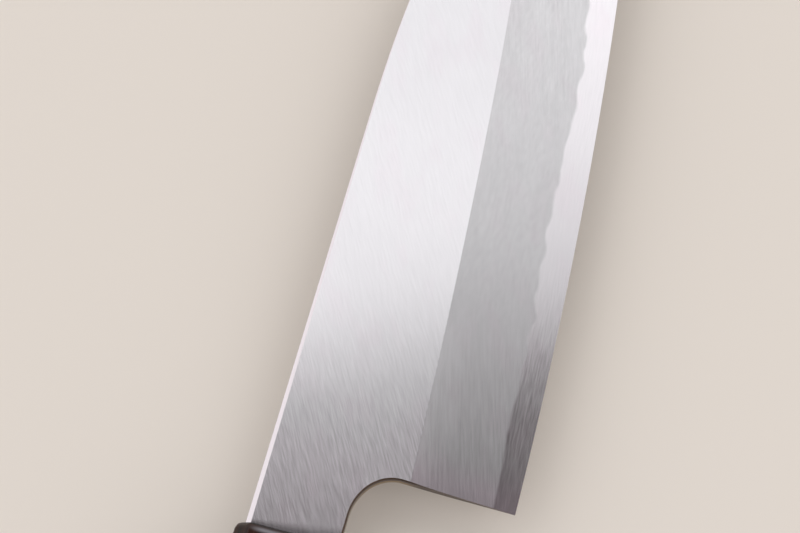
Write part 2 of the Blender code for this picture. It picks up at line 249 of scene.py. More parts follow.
class Bench:
    """The modelling operators, each with the selection that it needs."""

    @staticmethod
    def clear() -> None:
        """Leaves edit mode and selects nothing."""
        if bpy.context.object and bpy.context.object.mode != "OBJECT":
            bpy.ops.object.mode_set(mode="OBJECT")
        bpy.ops.object.select_all(action="DESELECT")

    @classmethod
    def take(cls, piece: bpy.types.Object) -> None:
        """Makes a piece the active one and the only one selected.

        Args:
            piece: The piece.
        """
        cls.clear()
        piece.select_set(True)
        bpy.context.view_layer.objects.active = piece

    @classmethod
    def settle(cls, name: str) -> bpy.types.Object:
        """Names the newest object and puts its place, turn and size into its mesh.

        Args:
            name: The piece's name.

        Returns:
            The piece.
        """
        piece = bpy.context.object
        piece.name = name
        piece.data.name = name
        cls.take(piece)
        bpy.ops.object.transform_apply(location=True, rotation=True, scale=True)
        return piece

    @classmethod
    def block(cls, name: str, low: Vector, high: Vector) -> bpy.types.Object:
        """A cube between two corners.

        Args:
            name: The piece's name.
            low: Its lowest corner.
            high: Its highest corner.

        Returns:
            The piece.
        """
        cls.clear()
        bpy.ops.mesh.primitive_cube_add(size=1.0, location=(low + high) / 2, scale=high - low)
        return cls.settle(name)

    @classmethod
    def edit_faces(
        cls, piece: bpy.types.Object, chosen: Callable[[bpy.types.MeshPolygon], bool] = lambda face: True
    ) -> None:
        """Enters edit mode with all faces selected, or some.

        Args:
            piece: The piece to edit.
            chosen: Says of a face whether it is selected.
        """
        cls.take(piece)
        bpy.ops.object.mode_set(mode="EDIT")
        bpy.ops.mesh.select_mode(type="FACE")
        bpy.ops.mesh.select_all(action="DESELECT")
        bpy.ops.object.mode_set(mode="OBJECT")
        for face in piece.data.polygons:
            face.select = chosen(face)
        bpy.ops.object.mode_set(mode="EDIT")

    @classmethod
    def edit_edges(
        cls, piece: bpy.types.Object, chosen: Callable[[list[Vector], list[Vector]], bool]
    ) -> None:
        """Enters edit mode with some edges selected.

        Args:
            piece: The piece to edit.
            chosen: Says of an edge, by its two ends and the normals of its faces, whether it is selected.
        """
        cls.edit_faces(piece, lambda face: False)
        bpy.ops.mesh.select_mode(type="EDGE")
        bpy.ops.object.mode_set(mode="OBJECT")
        points = piece.data.vertices
        normals = {}
        for face in piece.data.polygons:
            for key in face.edge_keys:
                normals.setdefault(key, []).append(face.normal)
        for edge in piece.data.edges:
            ends = [points[i].co for i in edge.vertices]
            edge.select = chosen(ends, normals[edge.key])
        bpy.ops.object.mode_set(mode="EDIT")

    @classmethod
    def modify(cls, piece: bpy.types.Object, kind: str, **settings: Any) -> None:
        """Adds a modifier and applies it.

        Args:
            piece: The piece to change.
            kind: The modifier's type.
            settings: The modifier's settings.
        """
        cls.take(piece)
        modifier = piece.modifiers.new(kind.lower(), kind)
        for name, setting in settings.items():
            setattr(modifier, name, setting)
        bpy.ops.object.modifier_apply(modifier=modifier.name)

    @classmethod
    def combine(cls, piece: bpy.types.Object, tool: bpy.types.Object, cut: Cut) -> None:
        """Joins, removes or keeps what lies in a closed tool, and throws the tool away."""
        cls.modify(piece, "BOOLEAN", operation=cut.value, solver="EXACT", object=tool)
        bpy.data.objects.remove(tool)

    @classmethod
    def divide(cls, piece: bpy.types.Object, places: list[float]) -> None:
        """Divides a piece's faces by planes square to X.

        Args:
            piece: The piece to divide.
            places: Where the planes stand.
        """
        cls.edit_faces(piece)
        for x in places:
            bpy.ops.mesh.select_all(action="SELECT")
            bpy.ops.mesh.bisect(plane_co=(x, 0.0, 0.0), plane_no=(1.0, 0.0, 0.0))
        cls.clear()

    @classmethod
    def clean(cls, piece: bpy.types.Object, distance: float) -> None:
        """Merges points that a cut left closer together than a distance.

        Args:
            piece: The piece to clean.
            distance: The distance in metres.
        """
        cls.edit_faces(piece)
        bpy.ops.mesh.remove_doubles(threshold=distance)
        bpy.ops.mesh.dissolve_degenerate(threshold=distance / 2)
        cls.clear()

    @classmethod
    def copy(cls, piece: bpy.types.Object, name: str) -> bpy.types.Object:
        """A copy of a piece with its own mesh.

        Args:
            piece: The piece to copy.
            name: The copy's name.

        Returns:
            The copy.
        """
        cls.take(piece)
        bpy.ops.object.duplicate(linked=False)
        twin = bpy.context.object
        twin.name = name
        twin.data.name = name
        return twin

    @classmethod
    def shade(cls, piece: bpy.types.Object, angle: float, level: float = 1.0) -> None:
        """Shades a piece smooth, with flat faces kept flat up to their rounded rims.

        Args:
            piece: The piece to shade.
            angle: Edges sharper than this stay sharp.
            level: Faces whose normal has more than this along Z are ground surfaces, with crisp borders.
        """
        blunt = math.cos(math.radians(2.0))

        def crisp(ends: list[Vector], normals: list[Vector]) -> bool:
            """Whether an edge bounds a ground surface."""
            return max(abs(normal.z) for normal in normals) > level and normals[0].dot(normals[-1]) < blunt

        cls.edit_edges(piece, crisp)
        bpy.ops.mesh.mark_sharp()
        cls.take(piece)
        bpy.ops.object.shade_smooth_by_angle(angle=angle, keep_sharp_edges=True)
        cls.modify(piece, "WEIGHTED_NORMAL", keep_sharp=True, weight=100)


@dataclass(frozen=True)
class BladeShape:
    """The blade's sizes and the curves that follow from them, for meshes and for finishes."""

    edge_length: float = 167.0 * MM
    heel_height: float = 46.5 * MM
    tip_lift: float = 13.5 * MM
    edge_start_slope: float = 0.006
    spine_straight: float = 65.0 * MM
    spine_drop_power: float = 2.8
    nose_power: float = 1.35
    heel_lean: float = 0.7 * MM
    neck_length: float = 15.5 * MM
    neck_height: float = 17.5 * MM
    choil_length: float = 8.8 * MM
    choil_height: float = 7.5 * MM
    heel_thickness: float = 3.0 * MM
    tip_thickness: float = 1.2 * MM
    flat_thinning: float = 0.006
    edge_thickness: float = 0.1 * MM
    bevel_width_full: float = 20.9 * MM
    bevel_width_at_heel: float = 19.7 * MM
    bevel_ease_length: float = 75.0 * MM
    spine_chamfer: float = 1.0 * MM
    spine_chamfer_slope: float = 0.70
    choil_rounding: float = 0.7 * MM
    strip_width: float = 5.24 * MM
    strip_width_at_heel: float = 4.05 * MM
    strip_steady_length: float = 28.0 * MM
    strip_waves: tuple[tuple[float, float, float], ...] = (
        (0.40 * MM, 57.5 * MM, 13.4 * MM),
        (0.10 * MM, 27.5 * MM, 12.8 * MM),
        (0.13 * MM, 14.2 * MM, 1.6 * MM),
        (0.11 * MM, 10.6 * MM, 1.6 * MM),
        (0.16 * MM, 7.5 * MM, -1.7 * MM),
        (0.12 * MM, 6.6 * MM, 0.0),
    )
    tang_length: float = 95.0 * MM
    tang_front_height: float = 11.0 * MM
    tang_end_height: float = 5.5 * MM
    tang_end_thickness: float = 1.8 * MM
    axis_below_spine: float = 10.1 * MM
    shoulder_gap: float = 0.3 * MM
    station_count: int = 130
    station_crowding: float = 1.35
    choil_steps: int = 28

    @property
    def neck_bottom(self) -> float:
        """Height of the neck's lower side above the edge."""
        return self.heel_height - self.neck_height

    @property
    def choil_start(self) -> float:
        """Height at which the heel line turns into the choil."""
        return self.neck_bottom - self.choil_height

    @property
    def shoulder_x(self) -> float:
        """Where the neck meets the ferrule."""
        return self.shoulder_gap - self.neck_length

    @property
    def tang_end_x(self) -> float:
        """Where the tang ends."""
        return self.shoulder_x - self.tang_length

    @property
    def axis_y(self) -> float:
        """Height of the handle's axis above the edge."""
        return self.heel_height - self.axis_below_spine

    def stations(self) -> list[float]:
        """Places along the edge, closer together towards the tip."""
        shares = [(i + 1) / self.station_count for i in range(self.station_count)]
        return [self.edge_length * (1 - (1 - share) ** self.station_crowding) for share in shares]

    def edge_y(self, x: Number) -> Number:
        """The cutting edge, straight at the heel and rising in a belly to the tip.

        Args:
            x: The place along the blade.

        Returns:
            How high the edge is there.
        """
        belly = self.tip_lift - self.edge_start_slope * self.edge_length
        run = at_least(x, 0.0) / self.edge_length
        return self.edge_start_slope * self.edge_length * run + belly * run**2

    def spine_y(self, x: float) -> float:
        """The spine, straight over the heel and dropping in one curve to a rounded nose.

        Args:
            x: The place along the blade.

        Returns:
            How high the spine is there.
        """
        run = max(0.0, (x - self.spine_straight) / (self.edge_length - self.spine_straight))
        left = max(0.0, 1 - run**self.spine_drop_power) ** (1 / self.nose_power)
        return self.tip_lift + (self.heel_height - self.tip_lift) * left

    def bevel_width(self, x: Number) -> Number:
        """Width of the ground bevel, a little narrower at the heel."""
        ease = at_least(1.0 - at_least(x, 0.0) / self.bevel_ease_length, 0.0)
        return self.bevel_width_full - (self.bevel_width_full - self.bevel_width_at_heel) * ease**2

    def ridge_y(self, x: Number) -> Number:
        """The ridge between the flat and the bevel."""
        return self.edge_y(x) + self.bevel_width(x)

    def strip_y(self, x: Number) -> Number:
        """The wavy line where the claddings end and the hard steel is bare.

        Args:
            x: The place along the blade.

        Returns:
            How high the line is there.
        """
        steady = eased(x / self.strip_steady_length)
        width = self.strip_width_at_heel + (self.strip_width - self.strip_width_at_heel) * steady
        waves = 0.0
        for height, length, shift in self.strip_waves:
            waves = waves + height * sine(math.tau * (x + shift) / length)
        return self.edge_y(x) + width + steady * waves

    def flat_half(self, x: float, y: float) -> float:
        """Half thickness of the flat, one plane over blade and neck."""
        thinning = (self.heel_thickness - self.tip_thickness) / 2 / self.edge_length
        return self.heel_thickness / 2 - thinning * x - self.flat_thinning * (self.heel_height - y)

    def tang_half(self, x: float) -> tuple[float, float]:
        """How thick the tang is.

        Args:
            x: The place along the blade.

        Returns:
            Its half height and its half thickness there.
        """
        along = (self.shoulder_x - x) / self.tang_length
        tall = self.tang_front_height + (self.tang_end_height - self.tang_front_height) * along
        front_thickness = 2 * self.flat_half(self.shoulder_x, self.neck_bottom)
        thick = front_thickness + (self.tang_end_thickness - front_thickness) * along
        return tall / 2, thick / 2

    def bevel_slope(self, x: float) -> float:
        """How fast the bevel thickens above the edge."""
        x = min(max(x, 0.0), self.edge_length)
        return (self.flat_half(x, self.ridge_y(x)) - self.edge_thickness / 2) / self.bevel_width(x)

    def bevel_half(self, x: float, y: float) -> float:
        """Half thickness under the bevel's plane."""
        return self.edge_thickness / 2 + self.bevel_slope(x) * (y - self.edge_y(x))

    def weld_half(self, x: float) -> float:
        """Height of the weld between hard and soft steel above the middle of the blade."""
        x = min(max(x, 0.0), self.edge_length)
        return self.bevel_half(x, self.strip_y(x))

    def by_choil(self, point: Vector) -> bool:
        """Whether a point of the blade's rim lies on the choil or the heel line, and not on the spine."""
        return point.x < self.choil_length and point.y < self.heel_height - self.neck_height / 2

    def outline(self, spare: float) -> list[tuple[float, float]]:
        """The blank's outline, with steel to spare below the cutting edge.

        Args:
            spare: How much.

        Returns:
            Its points: along the edge, back over the spine, down the shoulder and round the choil.
        """
        places = self.stations()
        lean = self.heel_lean * spare / self.choil_start
        edge = [(x, self.edge_y(x) - spare) for x in [-lean] + places]
        spine = [(x, self.spine_y(x)) for x in reversed(places)]
        shoulder = [(self.shoulder_x, self.heel_height), (self.shoulder_x, self.neck_bottom)]
        choil = []
        for step in range(self.choil_steps + 1):
            turn = math.pi / 2 * (1 - step / self.choil_steps)
            x = self.heel_lean - self.choil_length + self.choil_length * math.cos(turn)
            choil.append((x, self.choil_start + self.choil_height * math.sin(turn)))
        return edge + spine + [(0.0, self.heel_height)] + shoulder + choil


def tang_block(
    shape: BladeShape, origin: Vector, name: str, front_x: float, back_x: float, margin: float
) -> bpy.types.Object:
    """A tapered block round the tang.

    Args:
        shape: The blade's sizes.
        origin: Where the blade's frame starts.
        name: The block's name.
        front_x: Where it starts, from the heel corner.
        back_x: Where it ends.
        margin: How much larger it is than the tang all round.

    Returns:
        The block.
    """
    piece = Bench.block(name, Vector((back_x, -1.0, -1.0)), Vector((front_x, 1.0, 1.0)))
    for vertex in piece.data.vertices:
        tall, deep = shape.tang_half(vertex.co.x)
        vertex.co.y = shape.axis_y + math.copysign(tall + margin, vertex.co.y)
        vertex.co.z = math.copysign(deep + margin, vertex.co.z)
        vertex.co += origin
    return piece


@dataclass(frozen=True)
class Pattern:
    """Blotches, or lines where they are long and narrow, in millimetres and turned about Z by degrees."""

    size: Size
    detail: float = 2.0
    roughness: float = 0.5
    angle: float = 0.0

    def on(self, nodes: Nodes, origin: Vector = Vector()) -> Value:
        """The pattern on a piece.

        Args:
            nodes: The material's node maker.
            origin: Where the pattern's frame starts.

        Returns:
            A noise from -0.5 to 0.5.
        """
        point = nodes.turned(origin, math.radians(self.angle), tuple(length * MM for length in self.size))
        inputs = {"Vector": point, "Scale": 1.0, "Detail": self.detail, "Roughness": self.roughness}
        return nodes.value("ShaderNodeTexNoise", "Fac", {}, inputs) - 0.5


@dataclass(frozen=True)
class Stretch:
    """A share that holds on a stretch of the blade, with its fades in millimetres from the heel."""

    share: float
    fade_in: Span | None = None
    fade_out: Span | None = None

    def at(self, x: Value) -> Value:
        """The share at a place along the blade.

        Args:
            x: The place, in metres from the heel.

        Returns:
            The share, which falls to 0 off the stretch.
        """
        begun = x.ramp(*(end * MM for end in self.fade_in)) if self.fade_in else 1.0
        ended = x.ramp(*(end * MM for end in self.fade_out)) if self.fade_out else 0.0
        return (begun - ended) * self.share


@dataclass(frozen=True)
class GroundSteel:
    """How one ground surface looks, with the lines that a stone leaves in it and their depth."""

    colour: Colour
    roughness: float
    lines: Pattern
    depth: float


@dataclass(frozen=True)
class Spot:
    """A point of the blade in its shader: where it is, and how much it is flat, bevel or strip."""

    nodes: Nodes
    x: Value
    y: Value
    z: Value
    above_ridge: Value
    above_line: Value
    clouds: Value
    flat: Value
    bevel: Value
    strip: Value


@dataclass(frozen=True)
class BladeSteel:
    """The finish of the blade: satin flat, hazy bevel and bright strip, each with its own grinding lines,
    with painted reflections and painted shade in its colour.
    """

    shape: BladeShape
    origin: Vector
    flat: GroundSteel = GroundSteel(
        (0.765, 0.763, 0.775), 0.18, Pattern((3.4, 0.26, 2.08), 1.5, angle=29), 0.0022 * MM
    )
    bevel: GroundSteel = GroundSteel(
        (0.62, 0.62, 0.625), 0.22, Pattern((6.0, 0.28, 2.24), 1.5, angle=15), 0.0005 * MM
    )
    strip: GroundSteel = GroundSteel(
        (0.78, 0.765, 0.78), 0.13, Pattern((4.0, 0.26, 2.08), 1.5, angle=4), 0.0011 * MM
    )
    lines_share: float = 0.13
    worn_lines: Stretch = Stretch(0.13, (-20, 20), (20, 100))
    bevel_lines_share: float = 0.055
    far_bevel_lines: Stretch = Stretch(0.185, (20, 110))
    uneven_roughness: float = 0.10
    clouds: Pattern = Pattern((9.0, 6.0, 6.0), 3.0)
    cloud_share: float = 0.04
    streaks: Pattern = Pattern((9.0, 1.7, 1.7), angle=15)
    streak_share: float = 0.09
    mottle: Pattern = Pattern((2.0, 0.7, 0.7), 3.0)
    mottle_share: float = 0.14
    haze_share: float = 0.45
    far_haze: Stretch = Stretch(0.65, (20, 60))
    teeth: Pattern = Pattern((2.6, 1.6, 1.6), 1.0)
    fraying: float = 0.65 * MM
    haze_edge: float = 0.42 * MM
    ridge_edge: float = 0.02 * MM
    # Painted shade: how wide and how dark the band below the core's line is, fading out away from the heel.
    painted_shade_width: float = 1.8 * MM
    line_painted_shade: Stretch = Stretch(0.12, fade_out=(12, 35))
    # Painted reflections: stretches along the blade where the flat, the bevel or the strip is painted lighter
    # or darker.
    flat_painted_reflection: tuple[Stretch, ...] = (Stretch(0.18, fade_out=(-6, 13)), Stretch(0.10, (15, 42), (45, 95)))
    spine_painted_reflection: Stretch = Stretch(0.19, (4, 18), (24, 48))
    spine_painted_reflection_start: float = 0.21
    ridge_painted_reflection: Stretch = Stretch(0.14, fade_out=(24, 37))
    ridge_painted_reflection_reach: float = 7 * MM
    far_bevel_painted_reflection: Stretch = Stretch(0.045, (70, 105))
    strip_painted_reflection: tuple[Stretch, ...] = (Stretch(0.09, (80, 108)), Stretch(-0.12, (33, 53), (58, 85)))
    # A faint mauve tint in clouds all over, and a painted mauve reflection along the heel.
    mauve: Colour = (1.0, 0.86, 0.93)
    mauve_clouds: Pattern = Pattern((11.0, 5.0, 5.0), angle=22.92)
    mauve_cloud_limits: Span = (-0.05, 0.20)
    mauve_cloud_share: float = 0.14
    heel_mauve_reflection: Stretch = Stretch(0.6, fade_out=(1, 9))
    heel_mauve_reflection_loss: float = 0.7
    # Painted shade: the steel darkened in front of the ferrule.
    painted_ferrule_shade: Colour = (0.43, 0.42, 0.42)
    painted_ferrule_shade_reach: Span = (1.1 * MM, 0.6 * MM)
    painted_ferrule_shade_fade: Span = (0.8 * MM, 2.4 * MM)
    spine_tone: Colour = (0.76, 0.71, 0.73)
    # Painted reflections on the choil: a dark tone on its rims and wall, and a lighter painted glint low on
    # the wall.
    choil_painted_dark_reflection: Colour = (0.10, 0.070, 0.055)
    choil_painted_glint: Colour = (0.42, 0.31, 0.19)
    painted_glint_heights: Span = (-0.1 * MM, 0.3 * MM)
    painted_glint_fade: float = 4 * MM
    rim_roughness: float = 0.25

    def material(self) -> bpy.types.Material:
        """Builds the material.

        Returns:
            The material.
        """
        nodes = Nodes(bpy.data.materials.new("blade_steel"))
        spot = self.spot(nodes)
        zones = [(spot.flat, self.flat), (spot.bevel, self.bevel), (spot.strip, self.strip)]
        reliefs = [((kind.lines.on(nodes, self.origin) + 0.5) * zone, kind.depth) for zone, kind in zones]
        grain = sum(relief for relief, _ in reliefs) - 0.5
        rough = sum(zone * kind.roughness for zone, kind in zones) + grain * self.uneven_roughness
        colour = nodes.mix(spot.flat, self.strip.colour, self.flat.colour)
        colour = nodes.scaled(nodes.mix(spot.bevel, colour, self.bevel.colour), self.shade(spot, grain))
        # Faint mauve tint in clouds, and a painted mauve reflection along the heel.
        colour = nodes.mix(self.mauve_tint_and_reflection_share(spot), colour, self.mauve, "MULTIPLY")
        # Painted shade in front of the ferrule.
        colour = nodes.mix(self.painted_ferrule_shade_share(spot), colour, self.painted_ferrule_shade, "MULTIPLY")
        # Painted reflections on the choil: the dark tone on its rims, and on its wall a lighter painted glint
        # low down.
        in_choil = (spot.y - self.shape.choil_start).ramp(-self.painted_glint_fade, 0.0)
        painted_glint = (1 - spot.z.ramp(*self.painted_glint_heights)) * in_choil
        wall = nodes.mix(painted_glint, self.choil_painted_dark_reflection, self.choil_painted_glint)
        for rim, tone in zip(Rim, (self.spine_tone, self.choil_painted_dark_reflection, wall)):
            on_rim = nodes.value("ShaderNodeAttribute", "Fac", {"attribute_name": rim.value}, {})
            colour = nodes.mix(on_rim, colour, tone)
            rough = rough + on_rim * (self.rim_roughness - rough)
        return nodes.surface({"Base Color": colour, "Metallic": 1.0, "Roughness": rough}, reliefs)

    def spot(self, nodes: Nodes) -> Spot:
        """Where the shaded point is on the blade.

        Args:
            nodes: The material's node maker.

        Returns:
            The point.
        """
        x, y, z = nodes.axes(self.origin)
        above_ridge = y - self.shape.ridge_y(x)
        above_line = y - self.shape.strip_y(x)
        clouds = self.clouds.on(nodes, self.origin)
        frayed = above_line + (clouds + self.teeth.on(nodes, self.origin)) * self.fraying
        flat = above_ridge.ramp(-self.ridge_edge, self.ridge_edge)
        hazy = frayed.ramp(-self.haze_edge / 2, self.haze_edge)
        bevel, strip = (1 - flat) * hazy, (1 - flat) * (1 - hazy)
        return Spot(nodes, x, y, z, above_ridge, above_line, clouds, flat, bevel, strip)

    def shade(self, spot: Spot, grain: Value) -> Value:
        """How light a point is, by its grinding lines, haze and clouds, with painted reflections along the
        blade and a painted shade band below the core's line.

        Args:
            spot: The point.
            grain: The grinding lines there, from -0.5 to 0.5.

        Returns:
            The share of the surface's plain tone.
        """
        bevel_lines = self.bevel_lines_share + self.far_bevel_lines.at(spot.x)
        other_lines = self.lines_share + self.worn_lines.at(spot.x)
        lines = grain * (spot.bevel * bevel_lines + (1 - spot.bevel) * other_lines)
        streaks = self.streaks.on(spot.nodes, self.origin) * self.streak_share
        mottle = self.mottle.on(spot.nodes, self.origin) * self.mottle_share
        haze = (streaks + mottle) * spot.bevel * (self.haze_share + self.far_haze.at(spot.x))
        # Painted shade: a dark band on the strip just below the core's line, near the heel.
        painted_shade = spot.above_line.ramp(-self.painted_shade_width, 0.0) * spot.strip * self.line_painted_shade.at(spot.x)
        # Painted reflections along the blade lighten or darken the tone, and the painted shade darkens it.
        return (1.0 + lines + haze + spot.clouds * self.cloud_share) * (1.0 + self.painted_reflection(spot) - painted_shade)

    def painted_reflection(self, spot: Spot) -> Value:
        """How much lighter or darker a painted reflection makes a point than its surface's plain tone.

        Args:
            spot: The point.

        Returns:
            The extra share.
        """
        x = spot.x
        rise = at_most(spot.above_ridge / (self.shape.heel_height - self.shape.ridge_y(x)), 1.0)
        flat = sum(stretch.at(x) for stretch in self.flat_painted_reflection)
        flat = flat + self.spine_painted_reflection.at(x) * (rise - self.spine_painted_reflection_start)
        by_ridge = spot.above_ridge.ramp(-self.ridge_painted_reflection_reach, 0.0)
        bevel = self.ridge_painted_reflection.at(x) * by_ridge + self.far_bevel_painted_reflection.at(x) * (1 - by_ridge)
        strip = sum(stretch.at(x) for stretch in self.strip_painted_reflection)
        return flat * spot.flat + bevel * spot.bevel + strip * spot.strip

    def mauve_tint_and_reflection_share(self, spot: Spot) -> Value:
        """How mauve the steel is: a faint tint in clouds all over, and a painted mauve reflection along the
        heel, less so on the flat.

        Args:
            spot: The point.

        Returns:
            The share of the mauve tone.
        """
        clouds = self.mauve_clouds.on(spot.nodes, self.origin).ramp(*self.mauve_cloud_limits)
        heel = self.heel_mauve_reflection.at(spot.x) * (1 - self.heel_mauve_reflection_loss * spot.flat)
        return at_most(clouds * self.mauve_cloud_share + heel, 1.0)

    def painted_ferrule_shade_share(self, spot: Spot) -> Value:
        """How much painted shade darkens the steel in front of the ferrule, less sharply so away from the
        spine.

        Args:
            spot: The point.

        Returns:
            The share of the painted shade's dark tone.
        """
        drop = (self.shape.heel_height - spot.y) / self.shape.neck_height
        reach, fade = (at_spine + drop * below for at_spine, below in (self.painted_ferrule_shade_reach, self.painted_ferrule_shade_fade))
        return 1 - eased((spot.x - self.shape.shoulder_x - reach) / fade)


@dataclass(frozen=True)
class Horn:
    """Dark polished horn with fibres along its length, a painted highlight where its front rim is rounded,
    and painted shade at its very front.
    """

    front: Vector
    dark: Colour = (0.008, 0.005, 0.004)
    brown: Colour = (0.031, 0.0125, 0.008)
    pale: Colour = (0.10, 0.050, 0.028)
    tone_places: tuple[float, ...] = (0.30, 0.52, 0.66, 0.80)
    # Painted highlight: a pale band along the rounded front rim, fading towards the top and bottom facets.
    rim: Colour = (0.20, 0.19, 0.20)
    painted_highlight_middle: float = 1.25 * MM
    painted_highlight_width: float = 1.4 * MM
    painted_highlight_reach: float = 8.5 * MM
    painted_highlight_fade: float = 3.0 * MM
    # Painted shade on a band at the very front, which is also made rougher.
    shaded_front_width: float = 0.5 * MM
    front_dulling: float = 0.44
    roughness: float = 0.16
    gloss: float = 0.24
    fibres: Pattern = Pattern((26.0, 1.4, 1.4), 5.0, 0.6)
    hairs: Pattern = Pattern((26.0 / 6, 1.4 / 6, 1.4 / 6))
    hair_shade: float = 0.3
    hair_roughness: float = 0.08
    hair_depth: float = 0.004 * MM

    def material(self) -> bpy.types.Material:
        """Builds the material.

        Returns:
            The material.
        """
        nodes = Nodes(bpy.data.materials.new("dark_horn"))
        hairs = self.hairs.on(nodes)
        stops = list(zip(self.tone_places, (self.dark, self.brown, self.brown, self.pale)))
        fibres = nodes.add("ShaderNodeValToRGB", {"stops": stops}, {"Fac": self.fibres.on(nodes) + 0.5})
        x, y, _ = nodes.axes(self.front)
        # The painted highlight: a pale band a little behind the front, along the rounded rim.
        rim = 1 - abs(x + self.painted_highlight_middle).ramp(0.0, self.painted_highlight_width / 2)
        rim = rim * (1 - abs(y).ramp(self.painted_highlight_reach - self.painted_highlight_fade, self.painted_highlight_reach))
        # Painted shade at the very front, which is also rougher there.
        shaded_dull_front = (x + 1.5 * self.shaded_front_width).ramp(0.0, self.shaded_front_width)
        colour = nodes.scaled(fibres.outputs["Color"], 1.0 + hairs * self.hair_shade)
        inputs = {
            "Base Color": nodes.mix(shaded_dull_front, nodes.mix(rim, colour, self.rim), self.dark),
            "Roughness": self.roughness + hairs * self.hair_roughness + shaded_dull_front * self.front_dulling,
            "Specular IOR Level": self.gloss,
        }
        return nodes.surface(inputs, [(hairs, self.hair_depth)])


@dataclass(frozen=True)
class PaleWood:
    """Fine pale wood with close rings and short pores, oiled but not varnished."""

    pith: Vector
    light: Colour = (0.62, 0.47, 0.30)
    dark: Colour = (0.46, 0.32, 0.18)
    sway: Pattern = Pattern((70.0, 16.0, 16.0))
    sway_reach: float = 9.0 * MM
    ring_width: float = 1.9 * MM
    late_wood: Span = (0.35, 0.95)
    late_share: float = 0.55
    fibres: Pattern = Pattern((9.0, 0.22, 0.22), 3.0, 0.6)
    fibre_share: float = 0.5
    fibre_roughness: float = 0.15
    pores: Pattern = Pattern((2.2, 0.10, 0.10), 1.0)
    pore_limits: Span = (0.12, 0.22)
    pore_share: float = 0.14
    pore_relief: float = 0.6
    blotches: Pattern = Pattern((40.0, 12.0, 12.0))
    blotch_share: float = 0.16
    roughness: float = 0.52
    gloss: float = 0.4
    relief: float = 0.012 * MM

    def material(self) -> bpy.types.Material:
        """Builds the material.

        Returns:
            The material.
        """
        nodes = Nodes(bpy.data.materials.new("handle_wood"))
        _, y, z = nodes.axes(self.pith)
        turns = ((y * y + z * z) ** 0.5 + self.sway.on(nodes) * self.sway_reach) / self.ring_width
        ring = turns.math("FRACT", turns)
        late = ring.ramp(*self.late_wood) * (1 - ring.ramp(self.late_wood[1], 1.0))
        fibres = self.fibres.on(nodes)
        pores = self.pores.on(nodes).ramp(*self.pore_limits)
        shade = 1.0 + self.blotches.on(nodes) * self.blotch_share - pores * self.pore_share
        colour = nodes.mix(late * self.late_share + fibres * self.fibre_share, self.light, self.dark)
        inputs = {
            "Base Color": nodes.scaled(colour, shade),
            "Roughness": self.roughness + fibres * self.fibre_roughness,
            "Specular IOR Level": self.gloss,
        }
        return nodes.surface(inputs, [(fibres - pores * self.pore_relief, self.relief)])


@dataclass(frozen=True)
class Resin:
    """Dull amber filling round the tang."""

    colour: Colour = (0.16, 0.11, 0.06)
    roughness: float = 0.5
    clouds: Pattern = Pattern((3.0, 3.0, 3.0), 3.0)
    cloud_share: float = 0.4
    relief: float = 0.02 * MM

    def material(self) -> bpy.types.Material:
        """Builds the material.

        Returns:
            The material.
        """
        nodes = Nodes(bpy.data.materials.new("bedding_resin"))
        clouds = self.clouds.on(nodes)
        colour = nodes.scaled(self.colour, 1.0 + clouds * self.cloud_share)
        return nodes.surface({"Base Color": colour, "Roughness": self.roughness}, [(clouds, self.relief)])


